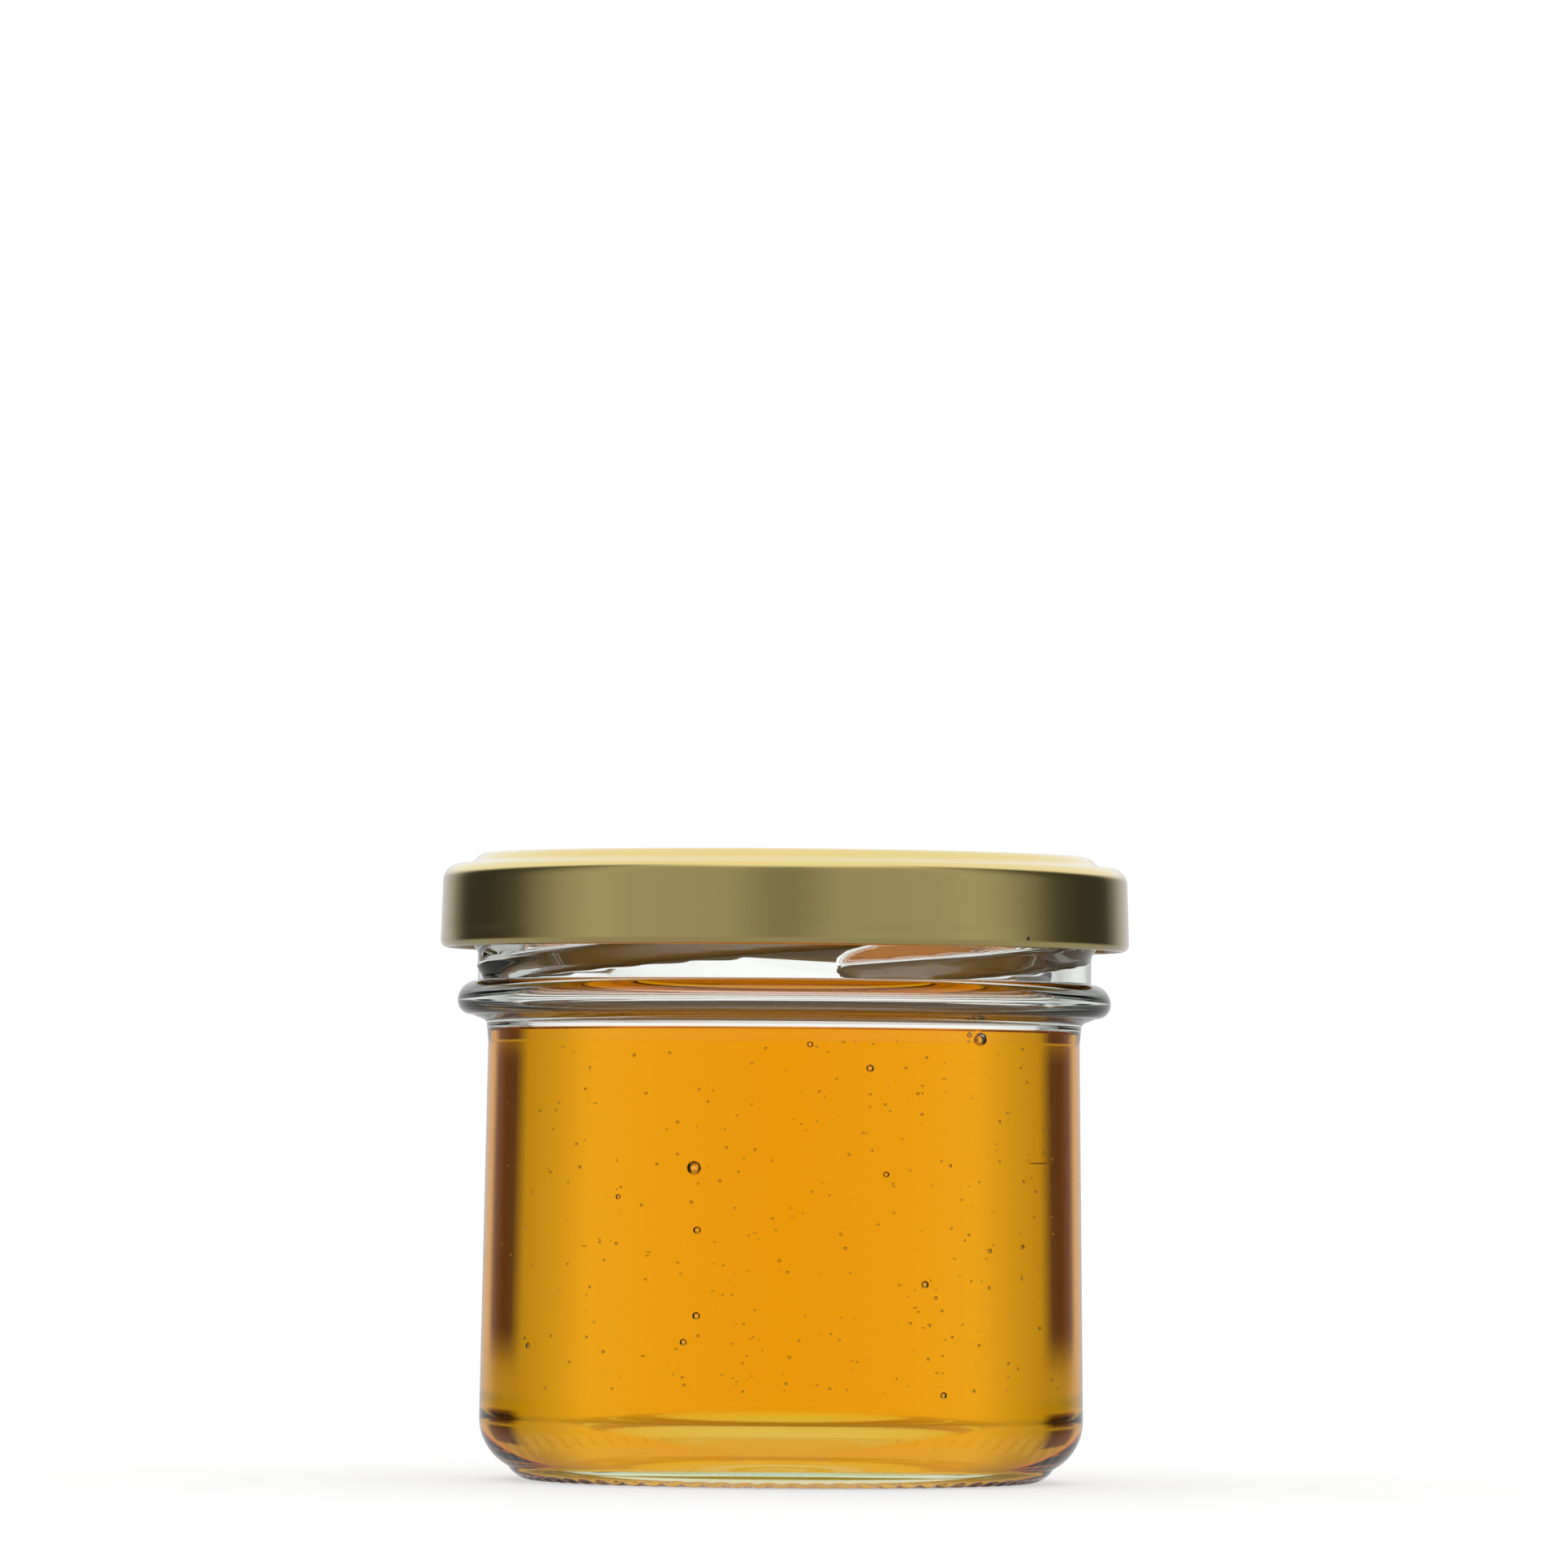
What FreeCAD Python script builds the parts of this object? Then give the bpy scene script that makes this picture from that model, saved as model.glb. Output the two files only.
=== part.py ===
"""A small twist-off glass jar of liquid honey with a gold lid, as a parametric document.

Frame: millimetres, +Z up, origin on the jar's axis in the plane that it stands on. The front
of the jar faces -Y, and angles round the axis are counted from +X towards +Y.
"""

import FreeCAD, Part
import math
import os
import re
import Sketcher

SIZES = [
    # glass body
    ("body_radius", 30.3, "widest radius of the body, just above the heel"),
    ("body_taper", 0.6, "how much narrower the body is at the mould seam"),
    ("wall", 2.6, "thickness of the body wall"),
    ("heel_height", 6.2, "height where the heel's curve meets the wall"),
    ("heel_inset", 2.9, "how far the heel's curve runs in from the widest radius"),
    ("heel_edge_height", 1.4, "height of the heel's lower edge"),
    ("glass_height", 62.5, "height of the sealing rim"),
    ("shoulder_drop", 2.0, "from the carrying ring's widest circle down to the wall's top"),
    ("shoulder_flare", 0.15, "how much the wall widens from the mould seam to its top"),
    ("seam_drop", 2.1, "from the wall's top down to the seam of body and neck mould"),
    # foot
    ("foot_lip", 0.4, "width of the small step under the heel"),
    ("foot_edge_height", 0.9, "height of the foot's outer edge"),
    ("foot_outer_width", 2.0, "from the foot's outer edge to the flat ring the jar stands on"),
    ("foot_flat", 1.0, "width of that flat ring"),
    ("foot_inner_width", 1.5, "from the flat ring to the foot's inner edge"),
    ("foot_inner_height", 0.8, "height of the foot's inner edge"),
    ("push_up", 2.4, "height of the hollow under the base, at the axis"),
    ("floor_height", 4.2, "height of the inner floor at its lowest circle"),
    ("floor_rise", 2.8, "how much higher the inner floor is at the axis"),
    ("floor_valley", 3.2, "from the lowest circle inwards to where the floor's dome starts"),
    ("inner_heel", 4.5, "radius of the curve between the lowest circle and the wall"),
    ("knurl_count", 72, "grooves across the foot"),
    ("knurl_radius", 0.7, "radius of a groove's round section"),
    ("knurl_depth", 0.3, "depth of a groove in the flat ring"),
    ("knurl_reach", 0.8, "how far a groove reaches inside the flat ring"),
    # neck
    ("neck_radius", 30.8, "radius of the neck"),
    ("neck_wall", 2.9, "thickness of the neck"),
    ("ring_projection", 2.0, "how far the carrying ring stands out from the neck"),
    ("ring_drop", 14.5, "from the sealing rim down to the ring's widest circle"),
    ("ring_rounding", 1.4, "radius of the ring's lower edge"),
    ("rim_rounding", 1.0, "radius of the two edges of the sealing rim"),
    # threads
    ("thread_count", 4, "ridges round the neck, one for each lug of the lid"),
    ("thread_projection", 1.1, "how far a ridge stands out from the neck"),
    ("thread_width", 2.4, "height of a ridge at the neck's surface"),
    ("thread_crest", 0.6, "height of a ridge at its crest"),
    ("thread_root", 0.5, "depth that a ridge is rooted in the neck"),
    ("thread_lead", 16.4, "rise of a ridge over a whole turn"),
    ("thread_span", 112, "angle that a ridge covers, in degrees"),
    ("thread_drop", 3.2, "from the lid's lower edge down to a ridge's lower edge at its start"),
    ("thread_azimuth", -79.5, "angle round the axis where the first ridge starts"),
    # honey
    ("honey_drop", 0.8, "from the wall's top down to the level of the honey"),
    # lid
    ("lid_height", 9.5, "height of the lid"),
    ("lid_sheet", 0.3, "thickness of the coated sheet"),
    ("lid_clearance", 2.4, "gap between the thread crests and the inside of the skirt"),
    ("skirt_draft", 0.2, "how much narrower the skirt is at its top"),
    ("lid_corner", 1.7, "radius between the skirt and the lid's shoulder"),
    ("lid_step", 1.1, "height of the raised panel over the lid's shoulder"),
    ("step_width", 2.4, "width of the slope up to the raised panel"),
    ("panel_inset", 0.9, "how far inside the neck's radius the raised panel starts"),
    ("recess_depth", 0.4, "depth of the recess in the middle of the lid"),
    ("recess_inset", 4.0, "from the raised panel's edge to the recess"),
    ("recess_slope", 1.2, "width of the slope down into the recess"),
    ("curl_radius", 0.75, "radius of the lid's rolled lower edge"),
    ("lug_height", 1.1, "height of a lug"),
    ("lug_angle", 16, "angle that a lug covers, in degrees"),
    ("lug_clearance", 0.5, "gap between a lug and the neck"),
]

# Sizes that follow from those above, in the order in which they are worked out.
DERIVED = [
    ("ring_height", "glass_height - ring_drop"),
    ("shoulder_height", "ring_height - shoulder_drop"),
    ("seam_height", "shoulder_height - seam_drop"),
    ("honey_level", "shoulder_height - honey_drop"),
    ("seam_radius", "body_radius - body_taper"),
    ("shoulder_radius", "seam_radius + shoulder_flare"),
    ("bore_radius", "body_radius - wall"),
    ("mouth_radius", "neck_radius - neck_wall"),
    ("floor_radius", "bore_radius - inner_heel"),
    ("dome_edge_radius", "floor_radius - floor_valley"),
    ("dome_fall", "floor_rise * dome_edge_radius / floor_radius"),
    ("floor_rounding", "(dome_edge_radius ^ 2 + dome_fall ^ 2) / (2 * dome_fall)"),
    ("valley_rise", "floor_rise - dome_fall"),
    ("valley_rounding", "(floor_valley ^ 2 + valley_rise ^ 2) / (2 * valley_rise)"),
    ("bore_step", "bore_radius - mouth_radius"),
    ("bore_step_top", "shoulder_height - (bore_step > 0 ? wall : bore_step)"),
    ("bore_step_foot", "bore_step_top - abs(bore_step)"),
    ("heel_drop", "heel_height - heel_edge_height"),
    ("heel_rounding", "(heel_drop ^ 2 + heel_inset ^ 2) / (2 * heel_inset)"),
    ("foot_edge_radius", "body_radius - heel_inset - foot_lip"),
    ("flat_outer_radius", "foot_edge_radius - foot_outer_width"),
    ("flat_inner_radius", "flat_outer_radius - foot_flat"),
    ("foot_inner_radius", "flat_inner_radius - foot_inner_width"),
    ("foot_rounding", "(foot_outer_width ^ 2 + foot_edge_height ^ 2) / (2 * foot_edge_height)"),
    ("foot_inner_rounding",
     "(foot_inner_width ^ 2 + foot_inner_height ^ 2) / (2 * foot_inner_height)"),
    ("hollow_rise", "push_up - foot_inner_height"),
    ("hollow_rounding", "(foot_inner_radius ^ 2 + hollow_rise ^ 2) / (2 * hollow_rise)"),
    ("ring_radius", "neck_radius + ring_projection"),
    ("thread_radius", "neck_radius + thread_projection"),
    ("thread_gap", "thread_lead / thread_count - thread_width"),
    ("lid_radius", "thread_radius + lid_clearance + lid_sheet"),
    ("skirt_top_radius", "lid_radius - skirt_draft"),
    ("panel_radius", "neck_radius - panel_inset"),
    ("slope_rounding", "(step_width ^ 2 + lid_step ^ 2) / (4 * lid_step)"),
    ("recess_radius", "panel_radius - recess_inset"),
    ("lid_top", "glass_height + lid_sheet"),
    ("lid_shoulder", "lid_top - lid_step"),
    ("lid_bottom", "lid_top - lid_height"),
    ("curl_height", "lid_bottom + curl_radius"),
    ("thread_start", "lid_bottom - thread_drop"),
    ("lug_turn", "(curl_height + thread_gap / 2 - thread_start) * 360 / thread_lead"),
    ("lug_azimuth", "thread_azimuth + lug_turn"),
]

SIZE_NAME = re.compile(r"\b(?!abs\b)[a-z]+(?:_[a-z]+)*\b")


def of_sheet(formula):
    """The formula as the document's objects write it, with each size read from the sheet."""
    return SIZE_NAME.sub(lambda name: "Sizes." + name[0], formula)


def with_unit(formula, unit):
    """The same for a property that insists on a unit."""
    return f"({of_sheet(formula)}) * 1 {unit}"


def make_sheet(doc):
    """Keeps the sizes in a spreadsheet: the driving ones as numbers, the others as formulas."""
    sheet = doc.addObject("Spreadsheet::Sheet", "Sizes")
    row = 0
    for name, value, note in SIZES:
        row += 1
        sheet.set(f"A{row}", name)
        sheet.set(f"B{row}", str(value))
        sheet.setAlias(f"B{row}", name)
        sheet.set(f"C{row}", note)
    for name, formula in DERIVED:
        row += 1
        sheet.set(f"A{row}", name)
        sheet.set(f"B{row}", "=" + formula)
        sheet.setAlias(f"B{row}", name)
    doc.recompute()
    return sheet


def plane_of(body, role):
    """One of the body's own origin planes or axes."""
    return next(item for item in body.Origin.OriginFeatures if item.Role == role)


def new_sketch(body, name, role, azimuth=None):
    """A sketch on one of the body's origin planes, turned round the axis where asked."""
    sketch = body.newObject("Sketcher::SketchObject", name)
    sketch.AttachmentSupport = [(plane_of(body, role), "")]
    sketch.MapMode = "FlatFace"
    if azimuth:
        upright = FreeCAD.Vector(0, 1, 0)
        sketch.AttachmentOffset = FreeCAD.Placement(
            FreeCAD.Vector(), FreeCAD.Rotation(upright, 1)
        )
        sketch.setExpression("AttachmentOffset.Rotation.Angle", with_unit(azimuth, "deg"))
    return sketch


def arc_between(start, end, radius):
    """The shorter arc from start to end, curving left for a positive radius, else right."""
    along = end - start
    middle = (start + end) / 2
    rise = math.sqrt(radius**2 - (along.Length / 2) ** 2)
    left = FreeCAD.Vector(-along.y, along.x, 0).normalize()
    centre = middle + left * math.copysign(rise, radius)
    first, last = (start, end) if radius > 0 else (end, start)
    angles = [math.atan2(p.y - centre.y, p.x - centre.x) for p in (first, last)]
    circle = Part.Circle(centre, FreeCAD.Vector(0, 0, 1), abs(radius))
    return Part.ArcOfCircle(circle, *angles)


def draw_outline(sketch, points):
    """Draws and constrains a closed outline.

    A point is the formulas of its two coordinates. A third formula makes the stretch to the
    next point an arc of that radius, which curves left, or right after a "-".
    """
    places = [
        FreeCAD.Vector(*[sketch.evalExpression(of_sheet(formula)) for formula in point[:2]])
        for point in points
    ]
    ends = []
    for index, point in enumerate(points):
        start, end = places[index], places[(index + 1) % len(points)]
        first, last = 1, 2
        if len(point) == 2:
            edge = sketch.addGeometry(Part.LineSegment(start, end))
        else:
            right = point[2].startswith("-")
            radius = sketch.evalExpression(of_sheet(point[2].lstrip("-")))
            edge = sketch.addGeometry(arc_between(start, end, -radius if right else radius))
            if right:
                first, last = 2, 1
            bound = sketch.addConstraint(Sketcher.Constraint("Radius", edge, radius))
            sketch.setExpression(f"Constraints[{bound}]", of_sheet(point[2].lstrip("-")))
        ends.append((edge, first, last))
    for index, point in enumerate(points):
        edge, first, _ = ends[index]
        before, _, last = ends[index - 1]
        sketch.addConstraint(Sketcher.Constraint("Coincident", before, last, edge, first))
        for kind, formula, place in zip(("DistanceX", "DistanceY"), point, places[index]):
            if formula == "0":
                axis = -2 if kind == "DistanceX" else -1
                sketch.addConstraint(Sketcher.Constraint("PointOnObject", edge, first, axis))
            else:
                bound = sketch.addConstraint(Sketcher.Constraint(kind, edge, first, place))
                sketch.setExpression(f"Constraints[{bound}]", of_sheet(formula))


def turn(body, kind, name, sketch):
    """Turns a sketch a whole round about the jar's axis, as a Revolution or a Groove."""
    feature = body.newObject("PartDesign::" + kind, name)
    feature.Profile = sketch
    feature.ReferenceAxis = (sketch, ["V_Axis"])
    feature.Angle = 360
    return feature


def repeat(body, name, feature, count):
    """Repeats a feature evenly round the jar's axis."""
    pattern = body.newObject("PartDesign::PolarPattern", name)
    pattern.Originals = [feature]
    pattern.Axis = (plane_of(body, "Z_Axis"), [""])
    pattern.Angle = 360
    pattern.setExpression("Occurrences", of_sheet(count))
    body.Tip = pattern
    return pattern


def draw_cavity(sketch, top):
    """Half the section of the jar's inside, from its floor up to the given height."""
    draw_outline(
        sketch,
        [
            ("0", "floor_height + floor_rise", "-floor_rounding"),
            ("dome_edge_radius", "floor_height + valley_rise", "valley_rounding"),
            ("floor_radius", "floor_height", "inner_heel"),
            ("bore_radius", "floor_height + inner_heel"),
            ("bore_radius", "bore_step_foot"),
            ("mouth_radius", "bore_step_top"),
            ("mouth_radius", top),
            ("0", top),
        ],
    )


def draw_glass(sketch):
    """Half the section of the glass with its inside filled up."""
    draw_outline(
        sketch,
        [
            ("0", "push_up", "-hollow_rounding"),
            ("foot_inner_radius", "foot_inner_height", "foot_inner_rounding"),
            ("flat_inner_radius", "0"),
            ("flat_outer_radius", "0", "foot_rounding"),
            ("foot_edge_radius", "foot_edge_height"),
            ("foot_edge_radius + foot_lip", "heel_edge_height", "heel_rounding"),
            ("body_radius", "heel_height"),
            ("seam_radius", "seam_height"),
            ("shoulder_radius", "shoulder_height"),
            ("ring_radius - ring_rounding", "ring_height - ring_rounding", "ring_rounding"),
            ("ring_radius", "ring_height", "ring_projection"),
            ("neck_radius", "ring_height + ring_projection"),
            ("neck_radius", "glass_height - rim_rounding", "rim_rounding"),
            ("neck_radius - rim_rounding", "glass_height"),
            ("0", "glass_height"),
        ],
    )


def make_glass(doc):
    """The jar: body, foot, carrying ring, neck, sealing rim and threads in one piece of glass."""
    body = doc.addObject("PartDesign::Body", "GlassJar")
    body.Label = "glass_jar"

    section = new_sketch(body, "GlassSection", "XZ_Plane")
    draw_glass(section)
    turn(body, "Revolution", "Glass", section)

    ridge_section = new_sketch(body, "RidgeSection", "XZ_Plane", "thread_azimuth")
    flank = "(thread_width - thread_crest) / 2"
    draw_outline(
        ridge_section,
        [
            ("neck_radius - thread_root", "thread_start"),
            ("neck_radius", "thread_start"),
            ("thread_radius", f"thread_start + {flank}"),
            ("thread_radius", f"thread_start + {flank} + thread_crest"),
            ("neck_radius", "thread_start + thread_width"),
            ("neck_radius - thread_root", "thread_start + thread_width"),
        ],
    )
    ridge = body.newObject("PartDesign::AdditiveHelix", "Ridge")
    ridge.Profile = ridge_section
    ridge.ReferenceAxis = (ridge_section, ["V_Axis"])
    ridge.Mode = "pitch-height-angle"
    ridge.setExpression("Pitch", with_unit("thread_lead", "mm"))
    ridge.setExpression("Height", with_unit("thread_lead * thread_span / 360", "mm"))
    repeat(body, "Threads", ridge, "thread_count")

    inside = new_sketch(body, "InsideSection", "XZ_Plane")
    draw_cavity(inside, "glass_height")
    turn(body, "Groove", "Inside", inside)

    mouth = new_sketch(body, "MouthSection", "XZ_Plane")
    draw_outline(
        mouth,
        [
            ("mouth_radius", "glass_height - rim_rounding", "-rim_rounding"),
            ("mouth_radius + rim_rounding", "glass_height"),
            ("mouth_radius", "glass_height"),
        ],
    )
    turn(body, "Groove", "Mouth", mouth)

    groove_section = new_sketch(body, "KnurlSection", "YZ_Plane")
    circle = Part.Circle(FreeCAD.Vector(0, -0.5, 0), FreeCAD.Vector(0, 0, 1), 1)
    groove = groove_section.addGeometry(circle)
    groove_section.addConstraint(Sketcher.Constraint("PointOnObject", groove, 3, -2))
    for kind, end, formula in (
        ("DistanceY", 3, "knurl_depth - knurl_radius"),
        ("Radius", None, "knurl_radius"),
    ):
        value = groove_section.evalExpression(of_sheet(formula))
        place = [groove] if end is None else [groove, end]
        bound = groove_section.addConstraint(Sketcher.Constraint(kind, *place, value))
        groove_section.setExpression(f"Constraints[{bound}]", of_sheet(formula))
    groove_section.setExpression(
        "AttachmentOffset.Base.z", with_unit("flat_inner_radius - knurl_reach", "mm")
    )
    knurl = body.newObject("PartDesign::Pocket", "Knurl")
    knurl.Profile = groove_section
    knurl.Reversed = True
    knurl.setExpression(
        "Length", with_unit("knurl_reach + foot_flat + foot_outer_width + foot_lip", "mm")
    )
    repeat(body, "Knurls", knurl, "knurl_count")
    return body


def make_honey(doc):
    """The honey: the jar's inside up to the level it is filled to."""
    body = doc.addObject("PartDesign::Body", "Honey")
    body.Label = "honey"
    section = new_sketch(body, "InsideSection", "XZ_Plane")
    draw_cavity(section, "glass_height")
    turn(body, "Revolution", "Inside", section)

    above = new_sketch(body, "AboveSection", "XZ_Plane")
    draw_outline(
        above,
        [
            ("0", "honey_level"),
            ("body_radius + neck_radius", "honey_level"),
            ("body_radius + neck_radius", "glass_height + lid_height"),
            ("0", "glass_height + lid_height"),
        ],
    )
    body.Tip = turn(body, "Groove", "Above", above)
    return body


def make_lid(doc):
    """The lid: a drawn metal cap whose lower edge is rolled in and pressed into four lugs."""
    body = doc.addObject("PartDesign::Body", "TwistLid")
    body.Label = "twist_lid"
    section = new_sketch(body, "LidSection", "XZ_Plane")
    inner = " - lid_sheet"
    draw_outline(
        section,
        [
            ("0", "lid_top - recess_depth" + inner),
            ("recess_radius", "lid_top - recess_depth" + inner),
            ("recess_radius + recess_slope", "lid_top" + inner),
            ("panel_radius", "lid_top" + inner, "-slope_rounding"),
            ("panel_radius + step_width / 2", "lid_top - lid_step / 2" + inner, "slope_rounding"),
            ("panel_radius + step_width", "lid_shoulder" + inner),
            ("skirt_top_radius - lid_corner", "lid_shoulder" + inner, "-(lid_corner - lid_sheet)"),
            ("skirt_top_radius" + inner, "lid_shoulder - lid_corner"),
            ("lid_radius" + inner, "curl_height + curl_radius"),
            ("lid_radius - curl_radius", "curl_height + curl_radius", "curl_radius"),
            ("lid_radius - 2 * curl_radius", "curl_height", "curl_radius"),
            ("lid_radius - curl_radius", "lid_bottom", "curl_radius"),
            ("lid_radius", "curl_height"),
            ("skirt_top_radius", "lid_shoulder - lid_corner", "lid_corner"),
            ("skirt_top_radius - lid_corner", "lid_shoulder"),
            ("panel_radius + step_width", "lid_shoulder", "-slope_rounding"),
            ("panel_radius + step_width / 2", "lid_top - lid_step / 2", "slope_rounding"),
            ("panel_radius", "lid_top"),
            ("recess_radius + recess_slope", "lid_top"),
            ("recess_radius", "lid_top - recess_depth"),
            ("0", "lid_top - recess_depth"),
        ],
    )
    turn(body, "Revolution", "Sheet", section)

    lug_section = new_sketch(body, "LugSection", "XZ_Plane", "lug_azimuth")
    draw_outline(
        lug_section,
        [
            ("neck_radius + lug_clearance", "curl_height - lug_height / 2"),
            ("lid_radius - curl_radius", "curl_height - lug_height / 2"),
            ("lid_radius - curl_radius", "curl_height + lug_height / 2"),
            ("neck_radius + lug_clearance", "curl_height + lug_height / 2"),
        ],
    )
    lug = turn(body, "Revolution", "Lug", lug_section)
    lug.Midplane = True
    lug.setExpression("Angle", with_unit("lug_angle", "deg"))
    repeat(body, "Lugs", lug, "thread_count")
    return body


def check(doc, bodies):
    """Stops if anything in the document failed, or a piece isn't one valid solid."""
    for item in doc.Objects:
        if "Invalid" in item.State or "Error" in item.State:
            raise RuntimeError(f"{item.Label} failed: {item.State} {item.getStatusString()}")
    for body in bodies:
        shape = body.Shape
        if shape.isNull() or not shape.isValid() or len(shape.Solids) != 1:
            raise RuntimeError(f"{body.Label} is not one valid solid")


def main():
    doc = FreeCAD.newDocument("HoneyJar")
    make_sheet(doc)
    bodies = [make_glass(doc), make_honey(doc), make_lid(doc)]
    doc.recompute()
    check(doc, bodies)
    os.makedirs("parts", exist_ok=True)
    for body in bodies:
        body.Placement = FreeCAD.Placement()
        box = body.Shape.BoundBox
        print(
            f"{body.Label}: {body.Shape.Volume / 1000:.2f} cm3,"
            f" x {box.XMin:.2f} to {box.XMax:.2f}, z {box.ZMin:.2f} to {box.ZMax:.2f}"
        )
        body.Shape.exportStep(f"parts/{body.Label}.step")


main()
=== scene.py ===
"""A small twist-off jar of liquid honey with a gold lid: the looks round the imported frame.

Sizes are in millimetres and are turned into metres where meshes are made. Angles round the
axis are counted from +X towards +Y, as in the frame, and the front of the jar faces -Y.
"""

import math

import bpy
import numpy as np
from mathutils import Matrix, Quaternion, Vector


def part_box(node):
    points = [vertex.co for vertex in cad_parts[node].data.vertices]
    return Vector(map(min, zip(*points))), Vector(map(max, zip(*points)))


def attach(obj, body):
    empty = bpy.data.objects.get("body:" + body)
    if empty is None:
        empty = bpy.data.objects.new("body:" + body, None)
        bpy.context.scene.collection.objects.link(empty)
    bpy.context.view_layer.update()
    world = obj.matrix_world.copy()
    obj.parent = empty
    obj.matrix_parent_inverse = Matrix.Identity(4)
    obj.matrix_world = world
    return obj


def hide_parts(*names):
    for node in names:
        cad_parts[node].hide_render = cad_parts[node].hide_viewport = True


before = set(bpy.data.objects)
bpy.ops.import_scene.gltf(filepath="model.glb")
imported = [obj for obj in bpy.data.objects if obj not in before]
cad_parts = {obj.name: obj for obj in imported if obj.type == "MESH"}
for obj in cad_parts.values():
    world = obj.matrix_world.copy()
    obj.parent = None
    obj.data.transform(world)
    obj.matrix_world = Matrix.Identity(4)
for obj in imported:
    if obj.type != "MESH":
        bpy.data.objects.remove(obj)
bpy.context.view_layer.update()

MM = 0.001
glass_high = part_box("glass_jar")[1]
honey_low, honey_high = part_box("honey")
lid_low, lid_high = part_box("twist_lid")

# Sizes that the frame gives.
GLASS_TOP = glass_high.z / MM
RING_RADIUS = glass_high.x / MM
HONEY_LEVEL = honey_high.z / MM
INNER_FLOOR = honey_low.z / MM
BORE_RADIUS = honey_high.x / MM
LID_RADIUS = lid_high.x / MM
LID_TOP = lid_high.z / MM
LID_BOTTOM = lid_low.z / MM

# How finely the turned pieces are divided, and how near two places count as one.
GLASS_SEGMENTS = 576
SEGMENTS = 360
THREAD_ROW = 0.4
SKIRT_ROW = 0.3
CLOSE = 0.001

# The glass, from the foot up. Pairs are a radius and a height.
WALL = 2.6
BODY_RADIUS = BORE_RADIUS + WALL
SEAM_RADIUS = BODY_RADIUS - 0.6
SHOULDER_RADIUS = SEAM_RADIUS + 0.15
PUSH_UP = 2.4
DOME_TOP = 7.0
DOME_RADIUS = 20.0
FOOT_INNER = (21.0, 0.8)
FLAT_INNER = 23.8
FLAT_OUTER = 24.8
FOOT_EDGE = (27.0, 0.9)
HEEL_EDGE = (27.4, 1.4)
HEEL_HEIGHT = 6.2
INNER_HEEL = 4.5
RING_PROJECTION = 2.0
RING_ROUNDING = 1.4
NECK_RADIUS = RING_RADIUS - RING_PROJECTION
NECK_WALL = 2.9
MOUTH_RADIUS = NECK_RADIUS - NECK_WALL
RING_HEIGHT = GLASS_TOP - 14.5
SHOULDER_HEIGHT = RING_HEIGHT - 2.0
SEAM_HEIGHT = SHOULDER_HEIGHT - 2.1
MOUTH_STEP = 0.2
RIM_ROUNDING = 1.0

# The small hollow curve from the wall into the ring's underside.
FILLET = 0.6
FILLET_DROP = 0.41
FILLET_RISE = 0.15
FILLET_RUN = 0.38

# The grooves across the foot's outer edge.
KNURLS = 72
KNURL_DEPTH = 0.30
KNURL_TOP = 0.4
KNURL_INSET = 0.3

# The share of glass's mirroring that the outside of body and neck keeps, so that the honey
# behind it looks deep, and where that part of the outside starts.
CALM = 0.35
CALM_LOWEST = HEEL_HEIGHT + 2
CALM_INSET = 0.1

# The threads: ridges that rise to the right, each with a blunt start.
THREADS = 4
THREAD_AZIMUTH = math.radians(-79.8)
THREAD_PROJECTION = 1.25
THREAD_WIDTH = 4.0
THREAD_NOSE = 7.0
THREAD_CREST = 0.12
THREAD_LEAD = 16.4
THREAD_SPAN = math.radians(112)
THREAD_FOOT = LID_BOTTOM - 2.0

# The lid.
SHEET = 0.3
SKIRT_DRAFT = 0.2
LID_CORNER = 1.7
LID_STEP = 1.1
STEP_WIDTH = 2.4
PANEL_RADIUS = NECK_RADIUS - 0.9
RECESS_DEPTH = 0.4
RECESS_RADIUS = PANEL_RADIUS - 4.0
RECESS_SLOPE = 1.2
CURL_RADIUS = 0.75
LUGS = 4
LUG_AZIMUTH = math.radians(-67)
LUG_HALF_TURN = math.radians(8)
LUG_REACH = 1.4
DENT_HALF_TURN = math.radians(22)
DENT_HEIGHT = 2.3
DENT_DEPTH = 0.10
SPECK = (23.95, -24.9, 54.2)
SPECK_RADIUS = 0.2

# How uneven the lid is: waves round it, each with its number, share and start.
UNEVEN = 0.02
WAVES = [(3, 1.0, 0.7), (8, 0.6, 2.1), (17, 0.3, 0.0)]

# Air bubbles close behind the front wall: distance to the right, height and radius.
BUBBLES = [
    (18.5, 44.35, 0.74), (17.6, 44.8, 0.28), (-8.4, 31.4, 0.72), (13.5, 20.1, 0.40),
    (8.2, 41.3, 0.40), (9.8, 30.9, 0.32), (-9.3, 14.3, 0.36), (15.3, 9.2, 0.36),
    (2.5, 43.6, 0.32), (-23.7, 13.6, 0.32), (-15.6, 28.5, 0.28), (-8.1, 25.3, 0.40),
    (-8.1, 16.9, 0.40), (19.6, 23.4, 0.24), (22.6, 23.8, 0.24),
]
BUBBLE_GAP = 0.15
BUBBLE_RINGS = 14

# Tiny bubbles: what share of them is in front, over how many degrees round the axis, between
# which heights, how deep behind the wall and how large.
TINY_BUBBLES = 460
TINY_IN_FRONT = 0.8
TINY_SPREAD = 144
TINY_LOWEST = 9.5
TINY_HIGHEST = HONEY_LEVEL - 1.0
TINY_GAP = 0.5
TINY_DEPTH = 3.0
TINY_RADIUS = 0.06
TINY_GROWTH = 0.12
TINY_GROWTH_BEHIND = 0.02
TINY_RINGS = 6

# How far the honey reaches into the glass, so that no air shows between them, and how it
# climbs the wall at its level.
OVERLAP = 0.05
MENISCUS = 0.2
MENISCUS_WIDTH = 1.0
MENISCUS_ROUNDING = 1.6

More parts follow.
